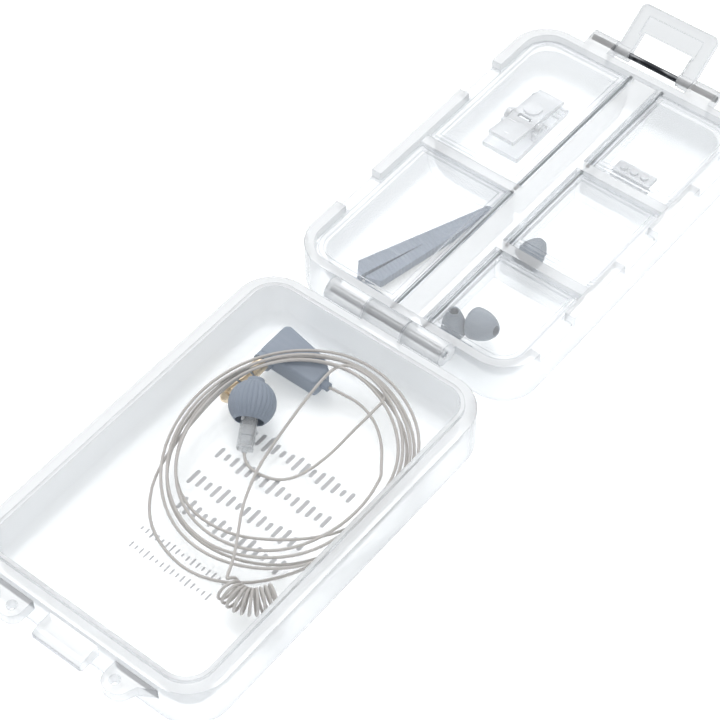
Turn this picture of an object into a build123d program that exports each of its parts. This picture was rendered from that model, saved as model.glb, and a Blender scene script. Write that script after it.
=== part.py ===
"""A pocket case in two clear halves on a steel hinge pin, laid open flat: an open tray that holds an
in-ear monitor on its coiled cable, and an organiser with five lidded compartments of spare pieces.

Millimetres. Every piece is drawn with the hinge line along X at y = 0 and the table at z = 0, with
the tray on the -Y side, and moved by hinge_y when it is saved, so that the origin is under the
middle of the object.
"""

import os
from math import cos, pi, radians, sin, tan

from build123d import *

# The two halves
half_width = 33.0
wall_near = 3.5
wall_far = 104.6
rim_z = 14.5
corner_r = 10.0
base_edge_r = 3.5
floor_z = 2.2
tray_wall = 4.1
tray_scoop_r = 5.0
lip_width = 1.0
lip_height = 0.9
overlap = 0.5  # how far a joined shape reaches into the one it joins

# The hinge between them
hinge_z = rim_z + 0.15
hinge_pin_r = 0.9
hinge_pin_x = 16.2
hinge_barrel_r = 2.9
tray_knuckle_x = 5.4
outer_knuckle_x = (5.8, 16.5)
running_gap = 0.09

# The organiser's recess, pockets and partitions
recess_x = 30.2
recess_near = 5.7
recess_far = 102.4
recess_corner_r = 7.2
recess_z = rim_z - 2.9
pocket_x = 28.0
pocket_near = 7.6
pocket_far = 100.0
pocket_corner_r = 6.6
pocket_scoop_r = 6.2
spine_x = (-1.7, 5.0)
divider_z = rim_z - 1.3
divider_t = 2.8
left_divider_y = 53.0
right_divider_y = (36.2, 69.4)

# The five lids
lid_t = 1.2
lid_z = rim_z - 2.8
lid_corner_r = 1.6
lid_inset = 0.3
border_inset = 0.7
border_width = 1.2
border_height = 0.4
lid_hinge_z = 12.3
lid_barrel_r = 1.1
lid_pin_r = 0.45
lid_pin_seat = 1.3  # how far each pin's ends run into the walls
lid_hinge_offset = 1.35
tab_length = 12.6
tab_corner_r = 1.1
tab_gap = 0.4
lids = {
    "lid_left_front": (-1, 6.0, 51.3, 29.0),
    "lid_left_rear": (-1, 54.7, 102.1, 78.0),
    "lid_right_front": (1, 6.0, 33.9, 20.4),
    "lid_right_middle": (1, 38.5, 67.1, 54.3),
    "lid_right_rear": (1, 71.7, 102.1, 86.0),
}

# The latch and what it closes on
latch_y = 109.0
latch_z = 12.9
latch_pin_r = 0.8
latch_half = 11.25
latch_length = 13.8
latch_t = 1.7
latch_barrel_r = 1.75
latch_tilt = 33.0
latch_corner_r = 1.5
window_half = 7.3
window_end = 6.9
latch_recess = (8.1, 5.9, 11.2)  # half width, near and far of the step round the window
latch_recess_depth = 0.5
latch_lug_x = (11.6, 18.6)
latch_lug_r = 2.1
catch_half = 6.7
catch_reach = 110.3
catch_z = (9.7, 13.1)
catch_grooves = (10.9, 11.5)
catch_groove = 0.25
ear_x = 14.5
ear_y = 108.0
ear_r = 2.9
ear_hole_r = 1.2
ear_z = (9.5, 12.5)
ear_flare = ((19.4, 106.6), (25.0, 103.6))

# The monitor, along its own axis from the middle of the ear tip
tip_centre = (-12.3, -33.7, 8.0)
tip_r = 5.5
monitor_turn = -60.0
monitor_droop = 19.0
nozzle_r = 1.2
nozzle_bore_r = 0.6
nozzle_span = (-6.2, 4.3)
filter_t = 0.4
driver_side = 3.7
driver_corner_r = 1.0
driver_start = 3.8
driver_split = 8.0
driver_end = 11.0
shell_t = 0.5
armature_size = (2.4, 2.0, 3.9)
monitor_relief_r = 0.6
monitor_exit = 11.8

# The cable, and its right-angle plug
cable_r = 0.35
coil_centre = (1.6, -39.6)
coil_half = (26.6, 30.6)
coil_width = 6.2
coil_z = (3.0, 5.4, 10.4)
coil_edge = 2.4
curl_r = 3.2
plug_outline = ((-21.6, -20.4), (-5.2, -20.4), (-5.2, -15.0), (-8.5, -12.6), (-20.4, -10.3), (-21.6, -11.1))
plug_z = 5.05
plug_high = 5.0
plug_corner_r = 1.0
plug_edge_r = 0.6
plug_relief_x = (-8.0, -3.2)
plug_relief_y = -17.6
plug_relief_r = 1.1
jack_x = -19.9
jack_y = -21.6
jack_r = 1.75
jack_neck_r = 1.5
jack_stem = 6.0
jack_collar_r = 2.4
jack_steps = (0.0, 4.2, 4.8, 8.0, 8.6, 14.0)  # sleeve, ring and tip with a black ring between
room_over_plug = 0.3

# The spare pieces: each tip's radius, height, foot and lean
spare_tips = {
    "spare_tip_small": (3.0, 7.6, (8.3, 14.2, 3.5), (0, 0, 0)),
    "spare_tip_large": (3.9, 6.8, (11.6, 17.4, 6.4), (0, 75, 0)),
    "spare_tip_medium": (3.6, 7.2, (9.9, 40.0, 6.2), (-78, 0, 0)),
}
spare_bore_r = 1.1
spare_wall = 0.8
clip_x = (-23.6, -13.0)
clip_y = (68.6, 91.0)
clip_z = 2.6
clip_t = 1.4
clip_cheek = 1.3
clip_cheek_y = (76.4, 81.6)
clip_knuckle = 1.8
clip_knuckle_gap = 0.3
clip_pin_y = 79.0
clip_pin_z = 6.0
clip_pin_r = 0.6
clip_barrel_r = 1.5
clip_teeth_y = (86.6, 88.2, 89.8)
clip_tooth = (0.6, 0.4)
clip_boss = (82.6, 2.4, 8.1)  # place along Y, radius and top
spring_r = 1.2
strap_legs = (
    ((-22.6, 17.4), (-19.6, 13.2), (-7.7, 50.4), (-9.3, 50.6)),
    ((-18.2, 14.3), (-14.2, 15.6), (-7.4, 48.6), (-8.6, 50.6)),
)
strap_fold = (-8.3, 50.2, 1.1)
strap_top = 4.4
card_x = (6.9, 17.6)
card_y = (81.4, 85.6)
card_t = 0.9
card_studs_x = (9.2, 12.2, 15.2)
card_stud = (1.0, 0.7)

tilt = radians(latch_tilt)
latch_reach = latch_y + latch_length * cos(tilt) + latch_t / 2 * sin(tilt)
hinge_y = (ear_y + ear_r - latch_reach) / 2


def block(x, y, z):
    """A box between two values on each axis."""
    size = [high - low for low, high in (x, y, z)]
    middle = [(high + low) / 2 for low, high in (x, y, z)]
    return Pos(*middle) * Box(*size)


def rod_x(x, y, z, radius):
    return Pos((x[0] + x[1]) / 2, y, z) * Rot(0, 90, 0) * Cylinder(radius, abs(x[1] - x[0]))


def rod_y(x, y, z, radius):
    return Pos(x, (y[0] + y[1]) / 2, z) * Rot(90, 0, 0) * Cylinder(radius, abs(y[1] - y[0]))


def rod_z(x, y, z, radius):
    return Pos(x, y, (z[0] + z[1]) / 2) * Cylinder(radius, z[1] - z[0])


def rounded(half_x, near, far, radius):
    """A rounded rectangle on the +Y side, on the plane z = 0."""
    return Pos(0, (near + far) / 2) * RectangleRounded(2 * half_x, far - near, radius)


def rounded_block(half_x, near, far, radius, low, high):
    return Pos(0, 0, low) * extrude(rounded(half_x, near, far, radius), high - low)


def scooped(half_x, near, far, radius, low, high, scoop):
    """A rounded block whose bottom edge is rounded too, as the inside of a moulded box."""
    hollow = rounded_block(half_x, near, far, radius, low, high)
    return fillet(hollow.edges().group_by(Axis.Z)[0], scoop)


def side_profile(points, x):
    """A YZ outline, extruded between two values of X."""
    outline = Plane.YZ * make_face(Polyline(*points, close=True))
    return Pos(x[0], 0, 0) * extrude(outline, x[1] - x[0])


def half_outside():
    return scooped(half_width, wall_near, wall_far, corner_r, 0, rim_z, base_edge_r)


def knuckle(x, towards):
    """One hinge barrel and the web that joins it to its half, at y = 0, towards +Y or -Y."""
    barrel = rod_x(x, 0, hinge_z, hinge_barrel_r)
    reach = sorted((0, towards * (wall_near + overlap)))
    return barrel + block(x, reach, (hinge_z - hinge_barrel_r, rim_z))


def catch():
    """The ramp that the latch's window snaps over, with two grooves across its face."""
    face = -catch_reach
    low, high = catch_z
    outline = [
        (-wall_far + overlap, low),
        (face + 0.8, low),
        (face, low + 0.8),
        (face, high - 1.2),
        (face + 0.9, high - 0.5),
        (-wall_far + overlap, high),
    ]
    ramp = side_profile(outline, (-catch_half, catch_half))
    for z in catch_grooves:
        ramp -= block((-catch_half, catch_half), (face, face + catch_groove), (z, z + catch_groove))
    return ramp


def tray_shell():
    inside_x = half_width - tray_wall
    near = wall_near + wall_near
    far = wall_far - wall_near
    inside_r = corner_r - tray_wall
    hollow = scooped(inside_x, near, far, inside_r, floor_z, rim_z, tray_scoop_r)
    body = half_outside() - hollow
    lip = rounded_block(
        inside_x + lip_width, near - lip_width, far + lip_width, inside_r + lip_width,
        rim_z, rim_z + lip_height,
    )
    mouth = rounded_block(inside_x, near, far, inside_r, rim_z, rim_z + lip_height)
    body = mirror(body + (lip - mouth), about=Plane.XZ) + catch()
    body += knuckle((-tray_knuckle_x, tray_knuckle_x), -1)
    return body - rod_x((-half_width, half_width), 0, hinge_z, hinge_pin_r)


def lanyard_ear(side):
    """A flat lug with a cord hole, its outer side flared back along the tray's end wall."""
    inner = ear_x - ear_r
    tip = ear_y + ear_r
    corners = [(inner, wall_far - overlap), (inner, tip), (ear_x + ear_r, tip), *ear_flare]
    face = make_face(Polyline(*corners, close=True))
    tips = face.vertices().group_by(Axis.Y)[-1]
    plate = extrude(fillet(tips, ear_r - 0.1), ear_z[1] - ear_z[0])
    plate = Pos(0, 0, ear_z[0]) * plate - half_outside() - rod_z(ear_x, ear_y, (0, rim_z), ear_hole_r)
    plate = mirror(plate, about=Plane.XZ)
    return plate if side > 0 else mirror(plate, about=Plane.YZ)


def latch_lug(side):
    x = sorted(side * value for value in latch_lug_x)
    root = wall_far - overlap
    web = [
        (root, latch_z - 2 * latch_lug_r),
        (latch_y - 0.6, latch_z - latch_lug_r + 0.1),
        (latch_y, latch_z + latch_lug_r),
        (root, rim_z),
    ]
    return rod_x(x, latch_y, latch_z, latch_lug_r) + side_profile(web, x)


def recess():
    return rounded_block(recess_x, recess_near, recess_far, recess_corner_r, recess_z, rim_z + 1)


def pockets():
    """The five compartments, as one hollow cut up by the spine and three dividers."""
    hollow = scooped(pocket_x, pocket_near, pocket_far, pocket_corner_r, floor_z, rim_z, pocket_scoop_r)
    hollow -= block(spine_x, (0, wall_far), (0, rim_z))
    half = divider_t / 2
    hollow -= block((-half_width, 0), (left_divider_y - half, left_divider_y + half), (0, rim_z))
    for y in right_divider_y:
        hollow -= block((0, half_width), (y - half, y + half), (0, rim_z))
    return hollow


def dividers():
    """The spine and dividers where they stand up between the lids."""
    z = (recess_z - overlap, divider_z)
    reach = recess_x + overlap
    half = divider_t / 2
    walls = block(spine_x, (recess_near - overlap, recess_far + overlap), z)
    walls += block((-reach, 0), (left_divider_y - half, left_divider_y + half), z)
    for y in right_divider_y:
        walls += block((0, reach), (y - half, y + half), z)
    return walls


def organiser_shell():
    body = half_outside() - recess() + dividers() - pockets()
    for side, _, _, tab_y in lids.values():
        x = sorted((side * (recess_x - 1), side * (half_width + 1)))
        reach = tab_length / 2 + tab_gap
        body -= block(x, (tab_y - reach, tab_y + reach), (recess_z, rim_z + 1))
    for side in (-1, 1):
        body += knuckle(sorted(side * value for value in outer_knuckle_x), 1)
        body += latch_lug(side)
    across = (-half_width, half_width)
    body -= rod_x(across, 0, hinge_z, hinge_pin_r + running_gap)
    body -= rod_x(across, latch_y, latch_z, latch_pin_r)
    for name in lids:
        body -= lid_pin(name)
    return body


def lid_hinge_x(side):
    return spine_x[1] + lid_hinge_offset if side > 0 else spine_x[0] - lid_hinge_offset


def lid_pin(name):
    side, near, far, _ = lids[name]
    return rod_y(lid_hinge_x(side), (near - lid_pin_seat, far + lid_pin_seat), lid_hinge_z, lid_pin_r)


def lid(name):
    """A clear flap with a raised border, a barrel along its spine edge and a thumb tab opposite."""
    side, near, far, tab_y = lids[name]
    hinge_x = lid_hinge_x(side)
    edge = recess_x - lid_inset
    middle = (near + far) / 2
    inside = rounded(edge, recess_near + lid_inset, recess_far - lid_inset, recess_corner_r - lid_inset)
    x = sorted((hinge_x, side * edge))
    sheet = Pos((x[0] + x[1]) / 2, middle) * RectangleRounded(x[1] - x[0], far - near, lid_corner_r)
    square = Pos(hinge_x + side * lid_corner_r, middle) * Rectangle(2 * lid_corner_r, far - near)
    outline = (sheet + square) & inside
    plate = Pos(0, 0, lid_z) * extrude(outline, lid_t)
    border = offset(outline, -border_inset, kind=Kind.INTERSECTION)
    border -= offset(outline, -border_inset - border_width, kind=Kind.INTERSECTION)
    plate += Pos(0, 0, lid_z + lid_t) * extrude(border, border_height)
    tab_x = sorted((side * (edge - overlap), side * half_width))
    tab = Pos(sum(tab_x) / 2, tab_y) * RectangleRounded(tab_x[1] - tab_x[0], tab_length, tab_corner_r)
    plate += Pos(0, 0, lid_z) * extrude(tab, lid_t)
    ends = (max(near, pocket_near + lid_inset), min(far, pocket_far - lid_inset))
    plate += rod_y(hinge_x, ends, lid_hinge_z, lid_barrel_r)
    return plate - rod_y(hinge_x, (near, far), lid_hinge_z, lid_pin_r + running_gap)


def latch_flap():
    """The latch in its own frame, then stood up at its tilt: two arms on the pin and a tip bar."""
    across = (-latch_half, latch_half)
    outline = Pos(0, latch_length / 2) * RectangleRounded(2 * latch_half, latch_length, latch_corner_r)
    outline += Pos(0, latch_corner_r) * Rectangle(2 * latch_half, 2 * latch_corner_r)
    flap = Pos(0, 0, -latch_t / 2) * extrude(outline, latch_t)
    flap += rod_x(across, 0, 0, latch_barrel_r)
    through = (-latch_barrel_r, latch_barrel_r)
    flap -= block((-window_half, window_half), (-latch_barrel_r, window_end), through)
    step_half, step_near, step_far = latch_recess
    step_z = (latch_t / 2 - latch_recess_depth, latch_t / 2)
    flap -= block((-step_half, step_half), (step_near, step_far), step_z)
    grip = (-latch_half + 2.5, latch_half - 2.5)
    flap += rod_x(grip, latch_length - 1.2, -latch_t / 2, 0.5)
    flap -= rod_x(across, 0, 0, latch_pin_r + running_gap)
    return Pos(0, latch_y, latch_z) * Rot(latch_tilt, 0, 0) * flap


def along_monitor(piece):
    """Turns a piece drawn along +Z, away from the ear, to where the monitor lies."""
    return Pos(*tip_centre) * Rot(0, 0, monitor_turn) * Rot(0, 90 + monitor_droop, 0) * piece


def turned(points):
    """A closed outline of (radius, height) points, spun about Z."""
    outline = Polyline(*[(radius, 0, height) for radius, height in points], close=True)
    return revolve(make_face(outline), Axis.Z)


def fitted_tip():
    """A soft ball of silicone on the nozzle, hollow behind its skirt."""
    ball = Sphere(tip_r)
    skirt = 0.84 * tip_r
    ball -= rod_z(0, 0, (skirt, tip_r), tip_r)
    stem = skirt - 1.2
    ball -= turned([(0, stem), (2.2, stem), (2.2, -1.0), (3.9, 1.0), (3.4, skirt), (0, skirt)])
    return along_monitor(ball - rod_z(0, 0, nozzle_span, nozzle_r))


def nozzle():
    return along_monitor(rod_z(0, 0, nozzle_span, nozzle_r) - rod_z(0, 0, nozzle_span, nozzle_bore_r))


def filter_mesh():
    return along_monitor(rod_z(0, 0, (nozzle_span[0], nozzle_span[0] + filter_t), nozzle_bore_r))


def capsule(low, high):
    sheet = RectangleRounded(driver_side, driver_side, driver_corner_r)
    return Pos(0, 0, low) * extrude(sheet, high - low)


def capsule_hollow():
    side = driver_side - 2 * shell_t
    low, high = driver_start + shell_t, driver_end - shell_t
    return Pos(0, 0, low) * extrude(RectangleRounded(side, side, driver_corner_r - shell_t + 0.1), high - low)


def driver_body():
    piece = capsule(driver_start, driver_split) - capsule_hollow()
    return along_monitor(piece - rod_z(0, 0, nozzle_span, nozzle_r))


def driver_cap():
    piece = capsule(driver_split, driver_end) - capsule_hollow()
    return along_monitor(piece - rod_z(0, 0, (driver_split, driver_end), monitor_relief_r))


def armature_driver():
    return along_monitor(Pos(0, 0, (driver_start + driver_end) / 2) * Box(*armature_size))


def monitor_relief():
    return along_monitor(rod_z(0, 0, (driver_end - shell_t, monitor_exit), monitor_relief_r))


def monitor_point(distance):
    """A point on the monitor's axis, at a distance from the middle of the ear tip."""
    droop, turn = radians(monitor_droop), radians(monitor_turn)
    flat = distance * cos(droop)
    x, y, z = tip_centre
    return (x + flat * cos(turn), y + flat * sin(turn), z - distance * sin(droop))


earpiece_lead = [
    monitor_point(monitor_exit),
    (-5.6, -44.6, 3.4),
    (-3.0, -45.2, 2.8),
    (0.2, -44.9, 2.7),
    (3.6, -43.6, 2.7),
    (6.0, -40.6, 2.7),
    (7.3, -36.0, 2.7),
    (8.2, -30.2, 3.0),
    (9.1, -24.4, 4.6),
    (10.2, -18.6, 7.6),
    (10.6, -13.9, 8.9),
]
curl_lead = [
    (-3.5, -14.5, 9.4),
    (-3.9, -19.9, 8.8),
    (-3.8, -25.9, 7.4),
    (-3.4, -32.0, 6.0),
    (-2.7, -38.4, 4.9),
    (-1.6, -44.3, 4.2),
    (0.6, -50.1, 3.9),
    (3.7, -56.2, 4.4),
    (7.6, -61.8, 5.6),
    (10.9, -66.6, 7.0),
    (13.0, -70.4, 7.9),
    (15.8, -72.6, 7.6),
]
curl_axis = [(15.8, -74.1, 5.9), (19.6, -74.5, 5.8), (23.0, -72.6, 5.8), (24.6, -68.8, 6.0)]
curl_return = [
    (24.6, -68.8, 6.0),
    (26.2, -65.4, 6.3),
    (27.2, -61.2, 6.6),
    (27.3, -56.6, 6.8),
    (26.3, -51.8, 6.9),
]
plug_lead = [
    (plug_relief_x[1], plug_relief_y, plug_z),
    (0.0, -17.3, 5.2),
    (4.0, -16.9, 5.8),
    (8.6, -17.6, 6.5),
    (13.2, -19.8, 6.8),
    (17.6, -23.6, 6.8),
]


def corner_radii(name, route):
    """The largest arc that each corner's two runs allow, printed with the corner's turn."""
    points = [Vector(*point) for point in route]
    radii = []
    for before, corner, after in zip(points, points[1:], points[2:]):
        into, away = corner - before, after - corner
        turn = into.get_angle(away)
        shorter = min(into.length, away.length)
        radii.append(0.45 * shorter / tan(radians(turn) / 2))
        print(name, "turn", round(turn, 1), "radius", round(radii[-1], 2), "run", round(shorter, 1))
    return radii


def tube(name, route, radius):
    path = FilletPolyline(*route, radius=corner_radii(name, route))
    wire = path if isinstance(path, Wire) else Wire(path.edges())
    section = Plane(origin=wire @ 0, z_dir=wire % 0) * Circle(radius)
    solid = sweep(section, path=wire)
    share = solid.volume / (pi * radius**2 * wire.length)
    print(name, "length", round(wire.length, 1), "volume", round(share, 4), "of section x length")
    return solid


def coil_band(inset, low, high):
    """The oval ring of the turns, its outer side set in."""
    half_x, half_y = coil_half
    outer = RectangleRounded(2 * (half_x - inset), 2 * (half_y - inset), half_x - inset - 0.1)
    half_x -= coil_width
    half_y -= coil_width
    inner = RectangleRounded(2 * half_x, 2 * half_y, half_x - 0.1)
    return Pos(*coil_centre, low) * extrude(outer - inner, high - low)


def cable_coil():
    """The bundle of turns: on the floor at its near side, lying on the plug and its jack at the others."""
    low, middle, high = coil_z
    ring = coil_band(coil_edge, low, middle) + coil_band(0, middle, high)
    over = plug_z + plug_high / 2 + room_over_plug
    ring -= block((-half_width, half_width), (-21.0, 0), (0, over))
    return ring - block((-half_width, jack_x + 3.0), (-wall_far, 0), (0, over))


def plug_shell(upper):
    """Half of the moulded plug body, split along the cable, with its half of the jack's collar."""
    z = (plug_z, plug_z + plug_high / 2) if upper else (plug_z - plug_high / 2, plug_z)
    face = make_face(Polyline(*plug_outline, close=True))
    half = Pos(0, 0, z[0]) * extrude(fillet(face.vertices(), plug_corner_r), z[1] - z[0])
    outer_face = half.faces().sort_by(Axis.Z)[-1 if upper else 0]
    half = fillet(outer_face.edges(), plug_edge_r)
    collar_y = (jack_y, plug_outline[0][1] + overlap)
    half += rod_y(jack_x, collar_y, plug_z, jack_collar_r) & block((-half_width, 0), collar_y, z)
    return half - plug_relief() - jack_stem_rod()


def plug_relief():
    return rod_x(plug_relief_x, plug_relief_y, plug_z, plug_relief_r)


def jack_stem_rod():
    return rod_y(jack_x, (jack_y, jack_y + jack_stem), plug_z, jack_neck_r)


def jack_pieces():
    """Sleeve, rings, tip and the black rings between them, from the body outwards."""
    names = ["jack_sleeve", "jack_insulator_rear", "jack_ring", "jack_insulator_front"]
    radii = [jack_r, jack_neck_r, jack_r, jack_neck_r]
    pieces = {}
    for name, radius, low, high in zip(names, radii, jack_steps, jack_steps[1:]):
        pieces[name] = rod_y(jack_x, (jack_y - high, jack_y - low), plug_z, radius)
    pieces["jack_sleeve"] += jack_stem_rod()
    low, high = jack_steps[-2:]
    groove = high - 2.0
    outline = [(0, low), (jack_r, low), (jack_r, groove - 0.8), (1.25, groove)]
    outline += [(jack_r, groove + 0.9), (0.5, high), (0, high)]
    pieces["jack_tip"] = Pos(jack_x, jack_y, plug_z) * Rot(90, 0, 0) * turned(outline)
    return pieces


def spare_tip(radius, height, place, lean):
    """A hollow silicone dome on a stem, its skirt downwards."""
    stem_r = spare_bore_r + 0.8
    inside = [
        (spare_bore_r, 0.6),
        (stem_r, 0.6),
        (stem_r, height * 0.62),
        (radius - spare_wall, 0.9),
    ]
    outside = [
        (radius - 0.7, 0.0),
        (radius, 0.5),
        (radius * 0.93, height * 0.42),
        (radius * 0.72, height * 0.76),
        (radius * 0.45, height * 0.96),
        (spare_bore_r, height),
    ]
    return Pos(*place) * Rot(*lean) * turned(inside + outside)


def clip_hole(radius):
    return rod_x(clip_x, clip_pin_y, clip_pin_z, radius)


def clip_base():
    """The lower jaw: a plate with two cheeks for the pin and teeth at its mouth."""
    low, high = clip_x
    top = clip_z + clip_t
    plate = block(clip_x, clip_y, (clip_z, top))
    for x in ((low, low + clip_cheek), (high - clip_cheek, high)):
        plate += block(x, clip_cheek_y, (top, clip_pin_z)) + rod_x(x, clip_pin_y, clip_pin_z, clip_barrel_r)
    for y in clip_teeth_y:
        plate += block(clip_x, (y, y + clip_tooth[0]), (top, top + clip_tooth[1]))
    return plate - clip_hole(clip_pin_r)


def clip_jaw():
    """The lever of the clothing clip: a thumb pad, two knuckles on the pin and the front jaw."""
    reach = clip_cheek + clip_knuckle_gap
    low, high = clip_x[0] + reach, clip_x[1] - reach
    back, front = clip_y[0] + 0.2, clip_y[1]
    knee = clip_pin_y - 2.0
    outline = [
        (back, 8.7),
        (knee, 7.4),
        (82.6, 7.4),
        (front, 5.9),
        (front, 4.9),
        (84.0, 5.4),
        (81.0, 6.3),
        (knee, 6.3),
        (back, 7.6),
    ]
    boss_y, boss_r, boss_top = clip_boss
    lever = side_profile(outline, (low, high))
    lever += rod_z((low + high) / 2, boss_y, (6.6, boss_top), boss_r)
    for x in ((low, low + clip_knuckle), (high - clip_knuckle, high)):
        lever += rod_x(x, clip_pin_y, clip_pin_z, clip_barrel_r)
    lever -= rod_x((low + clip_knuckle, high - clip_knuckle), clip_pin_y, clip_pin_z, clip_barrel_r)
    return lever - clip_hole(clip_pin_r + running_gap)


def clip_spring():
    """The torsion spring as a sleeve around the pin, between the lever's knuckles."""
    reach = clip_cheek + 2 * clip_knuckle_gap + clip_knuckle + 0.2
    x = (clip_x[0] + reach, clip_x[1] - reach)
    return rod_x(x, clip_pin_y, clip_pin_z, spring_r) - clip_hole(clip_pin_r)


def tie_strap():
    """A soft strap folded in two, its legs spreading from the fold, laid in the front compartment."""
    x, y, radius = strap_fold
    strap = rod_z(x, y, (0, strap_top), radius)
    for leg in strap_legs:
        strap += extrude(make_face(Polyline(*leg, close=True)), strap_top)
    return strap & pockets()


def filter_strip():
    """A small card of spare wax filters."""
    top = floor_z + card_t
    radius, height = card_stud
    card = block(card_x, card_y, (floor_z, top))
    for x in card_studs_x:
        card += rod_z(x, sum(card_y) / 2, (top, top + height), radius)
    return card


pieces = {
    "tray_shell": tray_shell(),
    "lanyard_ear_left": lanyard_ear(-1),
    "lanyard_ear_right": lanyard_ear(1),
    "organiser_shell": organiser_shell(),
    "hinge_pin": rod_x((-hinge_pin_x, hinge_pin_x), 0, hinge_z, hinge_pin_r),
    "latch_flap": latch_flap(),
    "latch_pin": rod_x((-latch_lug_x[1], latch_lug_x[1]), latch_y, latch_z, latch_pin_r),
    "ear_tip": fitted_tip(),
    "sound_nozzle": nozzle(),
    "wax_filter": filter_mesh(),
    "driver_body": driver_body(),
    "driver_cap": driver_cap(),
    "armature_driver": armature_driver(),
    "monitor_strain_relief": monitor_relief(),
    "cable_to_monitor": tube("cable_to_monitor", earpiece_lead, cable_r),
    "cable_coil": cable_coil(),
    "cable_to_curl": tube("cable_to_curl", curl_lead, cable_r),
    "cable_curl": tube("cable_curl", curl_axis, curl_r),
    "cable_from_curl": tube("cable_from_curl", curl_return, cable_r),
    "cable_to_plug": tube("cable_to_plug", plug_lead, cable_r),
    "plug_shell_lower": plug_shell(False),
    "plug_shell_upper": plug_shell(True),
    "plug_strain_relief": plug_relief(),
    "clip_base": clip_base(),
    "clip_jaw": clip_jaw(),
    "clip_pin": clip_hole(clip_pin_r),
    "clip_spring": clip_spring(),
    "tie_strap": tie_strap(),
    "filter_strip": filter_strip(),
}
pieces.update(jack_pieces())
for name, (radius, height, place, lean) in spare_tips.items():
    pieces[name] = spare_tip(radius, height, place, lean)
for name in lids:
    pieces[name] = lid(name)
    pieces[name.replace("lid", "lid_pin")] = lid_pin(name)

os.makedirs("parts", exist_ok=True)
for name, piece in pieces.items():
    export_step(Pos(0, hinge_y, 0) * piece, f"parts/{name}.step")
print("hinge_y", round(hinge_y, 3), "pieces", len(pieces))
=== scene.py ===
import bmesh
import bpy
from math import cos, hypot, pi, radians, sin
from mathutils import Matrix, Vector


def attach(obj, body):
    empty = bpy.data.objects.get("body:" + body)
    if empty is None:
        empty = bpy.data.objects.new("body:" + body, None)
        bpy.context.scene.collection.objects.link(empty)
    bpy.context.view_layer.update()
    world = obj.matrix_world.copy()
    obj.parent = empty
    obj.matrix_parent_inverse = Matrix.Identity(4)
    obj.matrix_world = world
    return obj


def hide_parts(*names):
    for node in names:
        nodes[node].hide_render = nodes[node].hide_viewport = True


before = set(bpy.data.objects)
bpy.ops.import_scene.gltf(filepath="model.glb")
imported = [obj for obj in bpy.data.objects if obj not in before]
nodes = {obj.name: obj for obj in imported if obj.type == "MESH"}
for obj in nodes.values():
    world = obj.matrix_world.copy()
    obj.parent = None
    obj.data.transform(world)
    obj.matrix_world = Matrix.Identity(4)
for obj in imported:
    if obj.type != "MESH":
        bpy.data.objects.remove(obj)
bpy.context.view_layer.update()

mm = 0.001
hingeLine = -5.0683  # where the case's hinge stands along y, in mm
scene = bpy.context.scene
trayFloor = 2.2


def place(x, y, z):
    # a point measured from the hinge line in mm, as the frame's metres
    return Vector((x, y + hingeLine, z)) * mm


# ---------- camera, lights and floor ----------
viewing = {
    "eye": (0.2048, -0.26857, 0.4041),
    "right": (0.78167, 0.62367, -0.00543),
    "up": (-0.4779, 0.6045, 0.6373),
    "forward": (-0.40078, 0.49560, -0.77055),
    "lens": 112.43,
}
studio = {
    "worldLow": (0.55, 0.56, 0.58),
    "worldHigh": (1.0, 1.0, 1.0),
    "worldStrength": 0.56,
    "softboxPower": 4.5,
    "fillPower": 0.8,
    "floorGlow": 0.44,
}


def makeCamera():
    data = bpy.data.cameras.new("camera")
    data.lens = viewing["lens"]
    data.sensor_width = 36
    data.clip_start = 0.02
    data.clip_end = 20
    camera = bpy.data.objects.new("camera", data)
    scene.collection.objects.link(camera)
    across, up, ahead = (Vector(viewing[key]).normalized() for key in ("right", "up", "forward"))
    turn = Matrix((across, up, -ahead)).transposed().to_4x4()
    camera.matrix_world = Matrix.Translation(viewing["eye"]) @ turn
    scene.camera = camera


def softLight(name, size, power, where, aim):
    data = bpy.data.lights.new(name, "AREA")
    data.size = size
    data.energy = power
    lamp = bpy.data.objects.new(name, data)
    scene.collection.objects.link(lamp)
    lamp.location = where
    lamp.rotation_euler = (Vector(aim) - Vector(where)).to_track_quat("-Z", "Y").to_euler()


def lightStudio():
    world = bpy.data.worlds.new("softRoom")
    scene.world = world
    world.use_nodes = True
    tree = world.node_tree
    tree.nodes.clear()
    coordinates = tree.nodes.new("ShaderNodeTexCoord")
    split = tree.nodes.new("ShaderNodeSeparateXYZ")
    ramp = tree.nodes.new("ShaderNodeValToRGB")
    ramp.color_ramp.elements[0].position = 0.02
    ramp.color_ramp.elements[0].color = (*studio["worldLow"], 1)
    ramp.color_ramp.elements[1].position = 0.42
    ramp.color_ramp.elements[1].color = (*studio["worldHigh"], 1)
    sky = tree.nodes.new("ShaderNodeBackground")
    sky.inputs["Strength"].default_value = studio["worldStrength"]
    out = tree.nodes.new("ShaderNodeOutputWorld")
    tree.links.new(coordinates.outputs["Generated"], split.inputs[0])
    tree.links.new(split.outputs["Z"], ramp.inputs[0])
    tree.links.new(ramp.outputs[0], sky.inputs["Color"])
    tree.links.new(sky.outputs[0], out.inputs["Surface"])
    softLight("softbox", 0.9, studio["softboxPower"], (-0.5, 0.35, 0.95), (0, 0, 0))
    softLight("fill", 0.7, studio["fillPower"], (0.7, -0.5, 0.6), (0, 0, 0))
    scene.view_settings.view_transform = "Standard"


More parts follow.
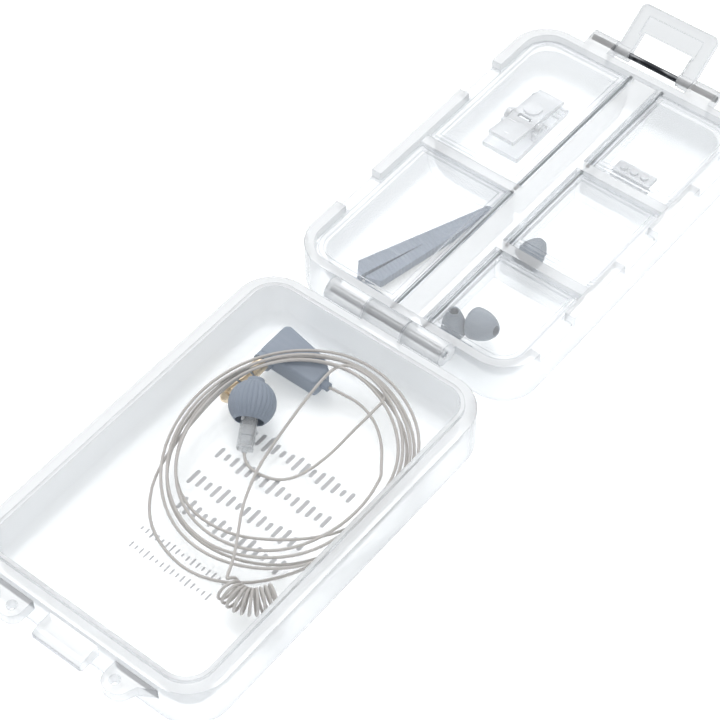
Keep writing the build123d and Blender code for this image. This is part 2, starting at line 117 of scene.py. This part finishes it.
def makeFloor():
    mesh = bpy.data.meshes.new("floor")
    sheet = bmesh.new()
    bmesh.ops.create_grid(sheet, x_segments=1, y_segments=1, size=3)
    sheet.to_mesh(mesh)
    sheet.free()
    floor = bpy.data.objects.new("floor", mesh)
    scene.collection.objects.link(floor)
    floor.location.z = -0.0002
    material, tree, shader = newMaterial("paleFloor")
    shader.inputs["Base Color"].default_value = (0.93, 0.94, 0.95, 1)
    shader.inputs["Roughness"].default_value = 0.9
    shader.inputs["Emission Color"].default_value = (0.97, 1.0, 1.0, 1)
    shader.inputs["Emission Strength"].default_value = studio["floorGlow"]
    mesh.materials.append(material)


# ---------- shared effects ----------
def newMaterial(name):
    material = bpy.data.materials.new(name)
    material.use_nodes = True
    tree = material.node_tree
    return material, tree, tree.nodes["Principled BSDF"]


def newGroup(name, takes, gives):
    group = bpy.data.node_groups.new(name, "ShaderNodeTree")
    for label, kind, value in takes:
        socket = group.interface.new_socket(label, in_out="INPUT", socket_type=kind)
        socket.default_value = value
    for label, kind in gives:
        group.interface.new_socket(label, in_out="OUTPUT", socket_type=kind)
    return group, group.nodes.new("NodeGroupInput"), group.nodes.new("NodeGroupOutput")


def maths(tree, operation, first, second=0.5, third=0.0, clamp=False):
    node = tree.nodes.new("ShaderNodeMath")
    node.operation = operation
    node.use_clamp = clamp
    for socket, value in zip(node.inputs, (first, second, third)):
        if isinstance(value, bpy.types.NodeSocket):
            tree.links.new(value, socket)
        else:
            socket.default_value = value
    return node.outputs[0]


def blendColours(tree, factor, first, second):
    node = tree.nodes.new("ShaderNodeMix")
    node.data_type = "RGBA"
    for index, value in ((0, factor), (6, first), (7, second)):
        if isinstance(value, bpy.types.NodeSocket):
            tree.links.new(value, node.inputs[index])
        elif index:
            node.inputs[index].default_value = (*value, 1)
        else:
            node.inputs[index].default_value = value
    return node.outputs[2]


def objectNoise(tree, scale, detail=3.0):
    coordinates = tree.nodes.new("ShaderNodeTexCoord")
    noise = tree.nodes.new("ShaderNodeTexNoise")
    noise.inputs["Detail"].default_value = detail
    tree.links.new(coordinates.outputs["Object"], noise.inputs["Vector"])
    if isinstance(scale, bpy.types.NodeSocket):
        tree.links.new(scale, noise.inputs["Scale"])
    else:
        noise.inputs["Scale"].default_value = scale
    return noise.outputs["Fac"]


def makeEffects():
    # sparked mould grain, with a slow drift in how strong it is
    takes = [("Scale", "NodeSocketFloat", 4000), ("Depth", "NodeSocketFloat", 0.2)]
    gives = [("Mask", "NodeSocketFloat"), ("Normal", "NodeSocketVector")]
    group, given, out = newGroup("mouldGrain", takes, gives)
    grain = objectNoise(group, given.outputs["Scale"], 2)
    drift = objectNoise(group, 90)
    mask = maths(group, "MULTIPLY", grain, maths(group, "ADD", drift, 0.4))
    bump = group.nodes.new("ShaderNodeBump")
    bump.inputs["Distance"].default_value = 0.00004
    group.links.new(given.outputs["Depth"], bump.inputs["Strength"])
    group.links.new(mask, bump.inputs["Height"])
    group.links.new(mask, out.inputs["Mask"])
    group.links.new(bump.outputs[0], out.inputs["Normal"])

    # painted shade: dark lines where a moulding turns a corner, from how far a rounded normal leaves the true one; they
    # stand in for the dark refraction along the edges of clear plastic
    takes = [("Strength", "NodeSocketFloat", 3.0)]
    group, given, out = newGroup("paintedEdgeShade", takes, [("Mask", "NodeSocketFloat")])
    rounded = group.nodes.new("ShaderNodeBevel")
    rounded.samples = 4
    rounded.inputs["Radius"].default_value = 0.00035
    geometry = group.nodes.new("ShaderNodeNewGeometry")
    turn = group.nodes.new("ShaderNodeVectorMath")
    turn.operation = "DOT_PRODUCT"
    group.links.new(rounded.outputs[0], turn.inputs[0])
    group.links.new(geometry.outputs["Normal"], turn.inputs[1])
    away = maths(group, "SUBTRACT", 0.985, turn.outputs["Value"], clamp=True)
    group.links.new(maths(group, "MULTIPLY", away, given.outputs["Strength"], clamp=True), out.inputs["Mask"])

    # one where a moulding's face lies flat, none on its walls and rounded edges
    takes = [("Sharpness", "NodeSocketFloat", 12)]
    group, given, out = newGroup("flatFaces", takes, [("Mask", "NodeSocketFloat")])
    coordinates = group.nodes.new("ShaderNodeTexCoord")
    split = group.nodes.new("ShaderNodeSeparateXYZ")
    group.links.new(coordinates.outputs["Normal"], split.inputs[0])
    lying = maths(group, "ABSOLUTE", split.outputs["Z"])
    steep = maths(group, "SUBTRACT", 1.0, lying)
    mask = maths(group, "SUBTRACT", 1.0, maths(group, "MULTIPLY", steep, given.outputs["Sharpness"]), clamp=True)
    group.links.new(mask, out.inputs["Mask"])

    # faint rubbed streaks and handling marks
    takes = [("Amount", "NodeSocketFloat", 0.3)]
    group, given, out = newGroup("handlingMarks", takes, [("Mask", "NodeSocketFloat")])
    coordinates = group.nodes.new("ShaderNodeTexCoord")
    stretch = group.nodes.new("ShaderNodeMapping")
    stretch.inputs["Scale"].default_value = (140, 900, 500)
    stretch.inputs["Rotation"].default_value = (0, 0, 0.6)
    streaks = group.nodes.new("ShaderNodeTexNoise")
    streaks.inputs["Scale"].default_value = 1.0
    group.links.new(coordinates.outputs["Object"], stretch.inputs["Vector"])
    group.links.new(stretch.outputs[0], streaks.inputs["Vector"])
    worn = maths(group, "MULTIPLY", maths(group, "SUBTRACT", streaks.outputs["Fac"], 0.52, clamp=True), 6.0)
    patches = objectNoise(group, 45)
    mask = maths(group, "MULTIPLY", worn, patches)
    group.links.new(maths(group, "MULTIPLY", mask, given.outputs["Amount"], clamp=True), out.inputs["Mask"])
    print("shared effects ready")


def effect(tree, name, **values):
    node = tree.nodes.new("ShaderNodeGroup")
    node.node_tree = bpy.data.node_groups[name]
    for label, value in values.items():
        node.inputs[label].default_value = value
    return node.outputs


# ---------- finishes ----------
def clearPlastic(name, look):
    # satin where the mould was sparked, polished where a face lies flat
    material, tree, shader = newMaterial(name)
    flat = effect(tree, "flatFaces", Sharpness=look["sharpness"])["Mask"]
    grain = effect(tree, "mouldGrain", Scale=look["grainScale"])
    satin = maths(tree, "SUBTRACT", 1.0, flat)
    tree.links.new(maths(tree, "MULTIPLY", satin, look["grainDepth"]), grain["Mask"].node.inputs["Depth"])
    marks = effect(tree, "handlingMarks", Amount=look["marks"])["Mask"]
    corners = effect(tree, "paintedEdgeShade", Strength=look["edgeShadeStrength"])["Mask"]
    # painted shade: the colour darkens towards a grey wherever the surface is seen edge-on
    facing = tree.nodes.new("ShaderNodeLayerWeight")
    facing.inputs["Blend"].default_value = look["edgeOnShadeBlend"]
    body = blendColours(tree, flat, look["wall"], look["face"])
    body = blendColours(tree, maths(tree, "MULTIPLY", facing.outputs["Facing"], look["edgeOnShadeShare"]), body, look["edgeOnShade"])
    # painted shade: the colour darkens towards a grey along the moulding's corners
    body = blendColours(tree, corners, body, look["corner"])
    tree.links.new(body, shader.inputs["Base Color"])
    polish = maths(tree, "MULTIPLY", flat, look["faceRoughness"] - look["wallRoughness"])
    rough = maths(tree, "ADD", polish, look["wallRoughness"])
    rough = maths(tree, "ADD", rough, maths(tree, "MULTIPLY", marks, 0.25), clamp=True)
    tree.links.new(rough, shader.inputs["Roughness"])
    tree.links.new(grain["Normal"], shader.inputs["Normal"])
    shader.inputs["Transmission Weight"].default_value = look["through"]
    shader.inputs["IOR"].default_value = look["ior"]
    shader.inputs["Coat Weight"].default_value = look["coat"]
    shader.inputs["Coat Roughness"].default_value = 0.12
    lightPath = tree.nodes.new("ShaderNodeLightPath")
    pane = tree.nodes.new("ShaderNodeBsdfTransparent")
    pane.inputs["Color"].default_value = (*look["shadow"], 1)
    mix = tree.nodes.new("ShaderNodeMixShader")
    tree.links.new(lightPath.outputs["Is Shadow Ray"], mix.inputs[0])
    tree.links.new(shader.outputs[0], mix.inputs[1])
    tree.links.new(pane.outputs[0], mix.inputs[2])
    tree.links.new(mix.outputs[0], tree.nodes["Material Output"].inputs["Surface"])
    return material


def softPlastic(name, look):
    material, tree, shader = newMaterial(name)
    grain = effect(tree, "mouldGrain", Scale=look["grainScale"], Depth=look["grainDepth"])
    marks = effect(tree, "handlingMarks", Amount=look["marks"])["Mask"]
    cloud = objectNoise(tree, look["cloudScale"])
    body = blendColours(tree, cloud, look["dark"], look["light"])
    body = blendColours(tree, marks, body, look["worn"])
    tree.links.new(body, shader.inputs["Base Color"])
    rough = maths(tree, "ADD", maths(tree, "MULTIPLY", grain["Mask"], 0.18), look["roughness"], clamp=True)
    tree.links.new(rough, shader.inputs["Roughness"])
    tree.links.new(grain["Normal"], shader.inputs["Normal"])
    shader.inputs["Specular IOR Level"].default_value = look["shine"]
    shader.inputs["Metallic"].default_value = look.get("metal", 0.0)
    shader.inputs["Sheen Weight"].default_value = look.get("sheen", 0.0)
    return material


def ribbedRubber(name, look):
    # fine ribs run the length of the strap
    material = softPlastic(name, look)
    tree = material.node_tree
    shader = tree.nodes["Principled BSDF"]
    coordinates = tree.nodes.new("ShaderNodeTexCoord")
    lean = tree.nodes.new("ShaderNodeMapping")
    lean.inputs["Rotation"].default_value = (0, 0, radians(look["ribLean"]))
    ribs = tree.nodes.new("ShaderNodeTexWave")
    ribs.inputs["Scale"].default_value = look["ribScale"]
    tree.links.new(coordinates.outputs["Object"], lean.inputs["Vector"])
    tree.links.new(lean.outputs[0], ribs.inputs["Vector"])
    bump = tree.nodes.new("ShaderNodeBump")
    bump.inputs["Distance"].default_value = 0.0002
    bump.inputs["Strength"].default_value = 0.6
    tree.links.new(ribs.outputs["Fac"], bump.inputs["Height"])
    tree.links.new(bump.outputs[0], shader.inputs["Normal"])
    return material


def makeFinishes():
    clearCase = {
        "sharpness": 14, "grainScale": 2600, "grainDepth": 0.2, "marks": 0.3, "edgeOnShadeBlend": 0.35,
        # the edge-on colour and its share paint shade where a surface is seen edge-on
        "wall": (0.845, 0.855, 0.865), "face": (0.985, 0.988, 0.99), "edgeOnShade": (0.66, 0.68, 0.705), "edgeOnShadeShare": 0.55,
        # the corner colour and its strength paint dark lines of shade along the edges
        "corner": (0.50, 0.52, 0.55), "edgeShadeStrength": 3.6, "coat": 0.5,
        "faceRoughness": 0.02, "wallRoughness": 0.18, "through": 0.68, "ior": 1.06, "shadow": (0.975, 0.978, 0.982),
    }
    lid = dict(clearCase, wall=(0.90, 0.91, 0.92), wallRoughness=0.08, marks=0.2, edgeOnShadeShare=0.4, through=0.96,
               corner=(0.45, 0.47, 0.5), edgeShadeStrength=4.0)
    capsule = dict(clearCase, wall=(0.86, 0.875, 0.885), wallRoughness=0.12, face=(0.88, 0.89, 0.9),
                   through=0.78, ior=1.2)
    frosted = dict(clearCase, wall=(0.80, 0.81, 0.825), face=(0.86, 0.87, 0.88), wallRoughness=0.3,
                   faceRoughness=0.22, through=0.55)
    slate = {
        "grainScale": 5200, "grainDepth": 0.25, "marks": 0.25, "cloudScale": 160, "roughness": 0.5, "shine": 0.4,
        "dark": (0.36, 0.415, 0.495), "light": (0.42, 0.475, 0.56), "worn": (0.52, 0.56, 0.63), "sheen": 0.12,
    }
    rubber = dict(slate, dark=(0.32, 0.375, 0.455), light=(0.39, 0.445, 0.53), roughness=0.62,
                  grainDepth=0.12, sheen=0.2)
    steel = {
        "grainScale": 3000, "grainDepth": 0.1, "marks": 0.5, "cloudScale": 240, "roughness": 0.25, "shine": 0.5,
        "dark": (0.42, 0.44, 0.46), "light": (0.56, 0.58, 0.6), "worn": (0.75, 0.77, 0.8), "metal": 1.0,
    }
    finishes = {
        "clearCase": clearPlastic("clearCase", clearCase),
        "clearLid": clearPlastic("clearLid", lid),
        "clearCapsule": clearPlastic("clearCapsule", capsule),
        "frostedClip": clearPlastic("frostedClip", frosted),
        "slatePlastic": softPlastic("slatePlastic", slate),
        "slateRubber": softPlastic("slateRubber", rubber),
        "spareRubber": softPlastic("spareRubber", dict(rubber, dark=(0.2, 0.235, 0.28), light=(0.27, 0.31, 0.36))),
        "ribbedStrap": ribbedRubber("ribbedStrap", dict(
            rubber, dark=(0.22, 0.265, 0.33), light=(0.28, 0.325, 0.40), ribLean=-70, ribScale=300)),
        "steelPin": softPlastic("steelPin", steel),
        # painted shadow: the latch pin is made near black to stand for the shadow in the gap round it
        "paintedShadowPin": softPlastic("paintedShadowPin", dict(steel, dark=(0.02, 0.022, 0.026), light=(0.05, 0.053, 0.06))),
        "goldPlate": softPlastic("goldPlate", dict(
            steel, dark=(0.86, 0.70, 0.50), light=(0.93, 0.80, 0.62), worn=(0.95, 0.88, 0.76), roughness=0.22)),
        "nickelCan": softPlastic("nickelCan", dict(steel, dark=(0.5, 0.52, 0.55), light=(0.62, 0.64, 0.67))),
        "cableJacket": softPlastic("cableJacket", dict(
            slate, dark=(0.62, 0.595, 0.575), light=(0.72, 0.695, 0.675), worn=(0.8, 0.78, 0.76),
            roughness=0.38, grainDepth=0.1, sheen=0.0)),
        "printInk": softPlastic("printInk", dict(
            slate, dark=(0.60, 0.61, 0.63), light=(0.68, 0.69, 0.71), worn=(0.8, 0.8, 0.82), sheen=0.0)),
    }
    print("finishes ready:", len(finishes))
    return finishes


def paint(piece, material):
    piece.data.materials.clear()
    piece.data.materials.append(material)
    for face in getattr(piece.data, "polygons", []):
        face.material_index = 0


def addPiece(name, mesh, material, body):
    piece = bpy.data.objects.new(name, mesh)
    scene.collection.objects.link(piece)
    paint(piece, material)
    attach(piece, body)
    return piece


def smoothMesh(name, form, angle=35):
    mesh = bpy.data.meshes.new(name)
    form.to_mesh(mesh)
    form.free()
    mesh.shade_smooth()
    mesh.set_sharp_from_angle(angle=radians(angle))
    return mesh


# ---------- the cable ----------
cable = {
    "diameter": 0.0007,
    "middle": (2.0, -40.0),  # of the bundle of turns, in mm from the hinge line
    "pointsPerTurn": 16,
    "lead": [
        (-6.72, -43.36, 4.16), (-5.6, -44.6, 3.4), (-3.0, -45.2, 2.8), (0.2, -44.9, 2.7), (3.6, -43.6, 2.7),
        (6.0, -40.6, 2.7), (7.3, -36.0, 2.7), (8.2, -30.2, 3.2), (9.1, -24.4, 5.4), (10.6, -18.2, 8.3)],
    # each key: the angle round the bundle, half width, half height, and how high the strand lies
    "firstTurns": [
        (72, 28.6, 28.4, 9.0), (90, 28, 29.8, 8.9), (135, 25.5, 28.0, 8.4), (180, 22.2, 29.5, 7.3),
        (202, 24, 41, 5.0), (225, 23.6, 37.4, 3.2), (247, 28, 34.2, 2.6), (270, 27, 35.1, 2.6),
        (292, 27.5, 34.8, 2.6), (315, 26.8, 33.0, 2.6), (360, 24.6, 30, 3.6), (405, 28.6, 28.4, 6.4),
        (450, 26, 27.4, 8.7), (495, 25, 27.4, 8.5), (540, 24.0, 28, 8.0), (585, 25, 28.2, 5.0),
        (630, 26, 27.8, 3.5), (675, 27.5, 28.0, 3.6), (720, 25.4, 29, 5.0), (765, 31.0, 29.6, 6.6),
        (810, 28, 30.4, 8.3), (855, 26, 28.4, 9.2), (900, 23.2, 28, 8.6), (945, 23.0, 26.0, 5.8),
        (990, 24, 23.4, 4.5), (1035, 21.4, 20.0, 4.4), (1080, 24.6, 26, 4.8), (1125, 27.4, 27.4, 7.6),
        (1158, 27.0, 28.2, 9.8)],
    "curlLead": [
        (-1.2, -12.2, 9.9), (-3.6, -15.0, 9.6), (-3.9, -19.9, 8.8), (-3.8, -25.9, 7.4), (-3.4, -32.0, 6.0),
        (-2.7, -38.4, 4.9), (-1.6, -44.3, 4.4), (0.6, -50.1, 4.6), (3.7, -56.2, 6.0), (7.6, -61.8, 7.4),
        (10.9, -66.6, 8.2), (13.0, -70.4, 8.6)],
    "curlAxis": [
        (14.6, -74.1, 6.4), (17.6, -74.9, 6.3), (20.6, -74.2, 6.2), (23.0, -72.2, 6.2), (24.4, -69.2, 6.2)],
    "curlRadius": 2.85,
    "curlTurns": 10.5,
    "curlPoints": 13,
    "curlReturn": [(25.4, -66.2, 6.2), (26.9, -61.8, 6.5)],
    "secondTurns": [
        (327, 31, 31.2, 6.9), (345, 26.9, 31, 7.1), (360, 26.0, 31, 7.3), (382, 28.0, 31, 7.5),
        (405, 32.0, 31.0, 7.7), (450, 30, 31.6, 8.9), (495, 27, 29.5, 8.9), (540, 25.7, 30, 8.6),
        (585, 26, 29.4, 6.4), (630, 27, 30.6, 5.2), (675, 29.6, 30.3, 5.3), (698, 27.6, 30.1, 5.9),
        (720, 25.9, 30, 6.4), (765, 29.2, 28.9, 7.3), (810, 28, 29.2, 9.6), (855, 24.8, 27.6, 9.9),
        (900, 24.2, 28, 9.3), (945, 25, 27.6, 7.2), (990, 26, 28.6, 6.0), (1035, 26.4, 28.0, 6.1),
        (1080, 23.8, 27, 6.2), (1125, 26.2, 26.2, 7.0), (1170, 26, 26.6, 10.3), (1215, 23.2, 25.6, 10.6),
        (1260, 21.9, 26, 9.8), (1305, 22.6, 26, 8.0), (1350, 24, 26.6, 6.8), (1395, 23.6, 27.6, 6.6),
        (1440, 22.2, 25, 6.2), (1464, 22.2, 23.0, 5.9)],
    "plugLead": [
        (21.0, -29.2, 5.7), (17.4, -24.1, 5.5), (13.3, -20.4, 5.4), (9.0, -18.0, 5.3), (4.6, -17.0, 5.2),
        (0.6, -17.2, 5.1), (-3.2, -17.6, 5.05)],
    "length": 1.38,
}


def looseTurns(keys):
    # walks round the bundle from the first key's angle to the last one's
    total = keys[-1][0] - keys[0][0]
    steps = round(total / 360 * cable["pointsPerTurn"])
    points = []
    for step in range(steps + 1):
        angle = keys[0][0] + total * step / steps
        index = max(i for i in range(len(keys) - 1) if keys[i][0] <= angle)
        share = (angle - keys[index][0]) / (keys[index + 1][0] - keys[index][0])
        wide, high, level = (a + (b - a) * share for a, b in zip(keys[index][1:], keys[index + 1][1:]))
        x = cable["middle"][0] + wide * cos(radians(angle))
        y = cable["middle"][1] + high * sin(radians(angle))
        points.append((x, y, level))
    return points


def along(points, distance):
    # the point and the heading at a distance along a chain of points
    for before, after in zip(points, points[1:]):
        run = (after - before).length
        if distance <= run:
            return before + (after - before) * (distance / run), (after - before).normalized()
        distance -= run
    return points[-1], (points[-1] - points[-2]).normalized()


def splineLine(points):
    # the smooth line of a bevel-less curve through these control points
    data = bpy.data.curves.new("guide", "CURVE")
    data.dimensions = "3D"
    data.resolution_u = 12
    spline = data.splines.new("NURBS")
    spline.points.add(len(points) - 1)
    for point, where in zip(spline.points, points):
        point.co = (*where, 1)
    spline.order_u = 3
    spline.use_endpoint_u = True
    guide = bpy.data.objects.new("guide", data)
    scene.collection.objects.link(guide)
    mesh = bpy.data.meshes.new_from_object(guide.evaluated_get(bpy.context.evaluated_depsgraph_get()))
    line = [vertex.co.copy() for vertex in mesh.vertices]
    bpy.data.objects.remove(guide)
    return line


def curlPoints():
    line = splineLine([Vector(point) for point in cable["curlAxis"]])
    length = sum((b - a).length for a, b in zip(line, line[1:]))
    steps = round(cable["curlTurns"] * cable["curlPoints"])
    points = []
    for step in range(steps + 1):
        centre, heading = along(line, length * step / steps)
        side = heading.cross(Vector((0, 0, 1))).normalized()
        lift = side.cross(heading)
        angle = pi / 2 + 2 * pi * cable["curlTurns"] * step / steps
        points.append(centre + cable["curlRadius"] * (cos(angle) * side + sin(angle) * lift))
    return points


def makeCable(finishes):
    route = cable["lead"] + looseTurns(cable["firstTurns"]) + cable["curlLead"] + curlPoints()
    route += cable["curlReturn"] + looseTurns(cable["secondTurns"]) + cable["plugLead"]
    data = bpy.data.curves.new("monitorCable", "CURVE")
    data.dimensions = "3D"
    data.resolution_u = 4
    spline = data.splines.new("NURBS")
    spline.points.add(len(route) - 1)
    for point, where in zip(spline.points, route):
        point.co = (*place(*where), 1)
    spline.order_u = 3
    spline.use_endpoint_u = True
    data.bevel_depth = cable["diameter"] / 2
    data.bevel_resolution = 3
    data.use_fill_caps = True
    piece = bpy.data.objects.new("monitorCable", data)
    scene.collection.objects.link(piece)
    data.materials.append(finishes["cableJacket"])
    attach(piece, "monitor")
    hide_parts("cable_to_monitor", "cable_coil", "cable_to_curl", "cable_curl", "cable_from_curl",
                "cable_to_plug")
    print("cable laid with", len(route), "points")


# ---------- the soft tips ----------
earTip = {
    "centre": (-12.3, -33.7, 8.0),  # mm from the hinge line
    "radius": 5.5,
    "turn": -60,
    "droop": 19,
    "flutes": 28,
    "fluteDepth": 0.24,
    "stepsPerFlute": 6,
    "arcSteps": 26,
    "neck": [(1.25, -6.05), (1.75, -6.0), (1.95, -5.8), (2.0, -5.35), (2.15, -5.1)],  # radius, height
    "inside": [(3.3, 4.25), (3.55, 3.4), (3.9, 1.0), (3.6, 0.1), (2.9, -0.7), (2.2, -1.0),
               (2.15, 3.0), (1.9, 3.35), (1.3, 3.4)],
}
spareTips = {
    # radius, height, foot in mm from the hinge line, lean about x and about y
    "spare_tip_small": {"radius": 3.0, "height": 7.6, "foot": (8.3, 14.2, 3.5), "lean": (0, 0), "slot": "black_silicone"},
    "spare_tip_large": {"radius": 3.9, "height": 6.8, "foot": (11.6, 17.4, 6.4), "lean": (0, 75), "slot": "grey_silicone"},
    "spare_tip_medium": {"radius": 3.6, "height": 7.2, "foot": (9.9, 40.0, 6.2), "lean": (-78, 0), "slot": "black_silicone"},
}
spareShape = {
    "bore": 1.1,
    "wall": 0.8,  # mm between the dome's outside and inside
    "dome": [
        (1.0, 0.07), (1.0, 0.14), (0.985, 0.26), (0.95, 0.40), (0.88, 0.55), (0.79, 0.68), (0.67, 0.80),
        (0.55, 0.89), (0.45, 0.95)],  # shares of the radius and of the height
    "steps": 64,
}


def spinOutline(outline, steps):
    # a closed chain of (radius, height) in mm, spun about z
    form = bmesh.new()
    corners = [form.verts.new((radius * mm, 0, height * mm)) for radius, height in outline]
    edges = [form.edges.new(pair) for pair in zip(corners, corners[1:] + corners[:1])]
    bmesh.ops.spin(form, geom=corners + edges, cent=(0, 0, 0), axis=(0, 0, 1), angle=2 * pi, steps=steps, use_merge=True)
    bmesh.ops.recalc_face_normals(form, faces=form.faces)
    return form


def makeEarTip(finishes):
    radius = earTip["radius"]
    low = -(radius**2 - 2.3**2) ** 0.5
    high = (radius**2 - 3.5**2) ** 0.5
    outline = list(earTip["neck"])
    for step in range(earTip["arcSteps"] + 1):
        height = low + (high - low) * step / earTip["arcSteps"]
        outline.append(((radius**2 - height**2) ** 0.5, height))
    form = spinOutline(outline + earTip["inside"], earTip["flutes"] * earTip["stepsPerFlute"])
    for corner in form.verts:
        if abs(corner.co.length - radius * mm) < 0.00002:
            # shallow flutes run from the neck to the skirt and fade out at both
            across = hypot(corner.co.x, corner.co.y)
            wave = 0.5 - 0.5 * cos(earTip["flutes"] * Vector((1, 0)).angle_signed(corner.co.xy, 0))
            fade = min(1, (across / mm - 2.3) / 1.2) * min(1, (high - corner.co.z / mm) / 0.8)
            sunk = 1 - earTip["fluteDepth"] * mm * wave**3 * fade / across
            corner.co.x *= sunk
            corner.co.y *= sunk
    turned = Matrix.Rotation(radians(earTip["turn"]), 4, "Z")
    lie = turned @ Matrix.Rotation(radians(90 + earTip["droop"]), 4, "Y")
    bmesh.ops.transform(form, matrix=Matrix.Translation(place(*earTip["centre"])) @ lie, verts=form.verts)
    piece = addPiece("ribbedEarTip", smoothMesh("ribbedEarTip", form, 50), finishes["slateRubber"], "monitor")
    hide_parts("ear_tip")


def makeSpareTips(finishes):
    bore = spareShape["bore"]
    stem = bore + 0.8
    for name, tip in spareTips.items():
        radius, height = tip["radius"], tip["height"]
        outline = [(radius - 0.75, 0.0), (radius - 0.3, 0.05), (radius - 0.1, 0.22)]
        outline += [(radius * across, height * up) for across, up in spareShape["dome"]]
        outline += [(bore + 0.25, height), (bore, height - 0.1), (bore, 0.6), (stem, 0.6), (stem, height * 0.6)]
        wall = spareShape["wall"]
        outline += [((stem + radius - wall) / 2, height * 0.45), (radius - wall, height * 0.2)]
        outline += [(radius - wall, 0.5)]
        form = spinOutline(outline, spareShape["steps"])
        tilted = Matrix.Rotation(radians(tip["lean"][0]), 4, "X")
        lie = tilted @ Matrix.Rotation(radians(tip["lean"][1]), 4, "Y")
        bmesh.ops.transform(form, matrix=Matrix.Translation(place(*tip["foot"])) @ lie, verts=form.verts)
        title = "dome" + name.title().replace("_", "")
        piece = addPiece(title, smoothMesh(title, form, 50), finishes["spareRubber"], "organiser")
        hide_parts(name)
    print("soft tips made")


# ---------- the printed mark on the tray's floor ----------
printMark = {
    # each row: x from and to, y, height of the tallest bar, bar width, gap between bars
    "rows": [
        (-10.4, 19.9, -37.2, 4.6, 1.0, 1.1), (-13.1, 19.7, -45.6, 4.6, 1.0, 1.1), (-13.4, 19.6, -54.3, 4.6, 1.0, 1.1),
        (-10.6, 19.4, -61.2, 4.6, 1.0, 1.1), (-12.6, 12.3, -71.7, 2.2, 0.45, 1.0), (-11.6, 12.0, -76.4, 2.2, 0.4, 1.0)],
    "swell": (0.55, 0.8, 1.0, 0.7, 0.45, 0.65, 0.95, 0.75),  # each bar's share of the row's height, over and over
    "thickness": 0.03,
}


def makePrint(finishes):
    # rows of rounded bars, as a sound wave is drawn
    form = bmesh.new()
    for number, (start, stop, y, tall, wide, gap) in enumerate(printMark["rows"]):
        count = int((stop - start) / (wide + gap))
        for index in range(count):
            share = printMark["swell"][(index + number * 3) % len(printMark["swell"])]
            x = start + (index + 0.5) * (stop - start) / count
            half = max(tall * share / 2, wide * 0.55)
            made = bmesh.ops.create_circle(form, cap_ends=True, segments=16, radius=wide / 2 * mm)
            for corner in made["verts"]:
                corner.co.y += (half - wide / 2) * mm * (1 if corner.co.y >= 0 else -1)
            bmesh.ops.translate(form, verts=made["verts"], vec=place(x, y, trayFloor))
    bars = bmesh.ops.extrude_face_region(form, geom=form.faces[:])["geom"]
    lifted = [part for part in bars if isinstance(part, bmesh.types.BMVert)]
    bmesh.ops.translate(form, verts=lifted, vec=(0, 0, printMark["thickness"] * mm))
    bmesh.ops.recalc_face_normals(form, faces=form.faces)
    addPiece("soundWavePrint", smoothMesh("soundWavePrint", form), finishes["printInk"], "tray")
    print("print laid on the floor")


# ---------- the case and its fittings ----------
nodeFinishes = {
    "clearCase": ["tray_shell", "organiser_shell", "lanyard_ear_left", "lanyard_ear_right", "latch_flap"],
    "clearLid": ["lid_left_front", "lid_left_rear", "lid_right_front", "lid_right_middle", "lid_right_rear"],
    "clearCapsule": ["driver_body", "driver_cap", "sound_nozzle", "monitor_strain_relief"],
    "frostedClip": ["clip_base", "clip_jaw", "filter_strip"],
    "slatePlastic": ["plug_shell_lower", "plug_shell_upper", "jack_insulator_rear", "jack_insulator_front"],
    "slateRubber": ["ear_tip", "plug_strain_relief"],
    "ribbedStrap": ["tie_strap"],
    "spareRubber": ["spare_tip_small", "spare_tip_medium", "spare_tip_large"],
    "steelPin": ["hinge_pin", "clip_pin", "clip_spring", "wax_filter"],
    # painted shadow: the near-black latch pin stands for the shadow in its gap
    "paintedShadowPin": ["latch_pin"],
    "goldPlate": ["jack_sleeve", "jack_ring", "jack_tip"],
    "nickelCan": ["armature_driver"],
}


def dressNodes(finishes):
    for finish, names in nodeFinishes.items():
        for name in names:
            paint(nodes[name], finishes[finish])
    for name in nodes:
        if name.startswith("lid_pin"):
            paint(nodes[name], finishes["steelPin"])
        nodes[name].data.shade_smooth()
        nodes[name].data.set_sharp_from_angle(angle=radians(30))
    print("case and fittings dressed:", len(nodes))


makeCamera()
lightStudio()
makeEffects()
makeFloor()
finishes = makeFinishes()
makeCable(finishes)
makeEarTip(finishes)
makeSpareTips(finishes)
makePrint(finishes)
dressNodes(finishes)

scene.cycles.max_bounces = 16
scene.cycles.transmission_bounces = 16
scene.cycles.transparent_max_bounces = 24
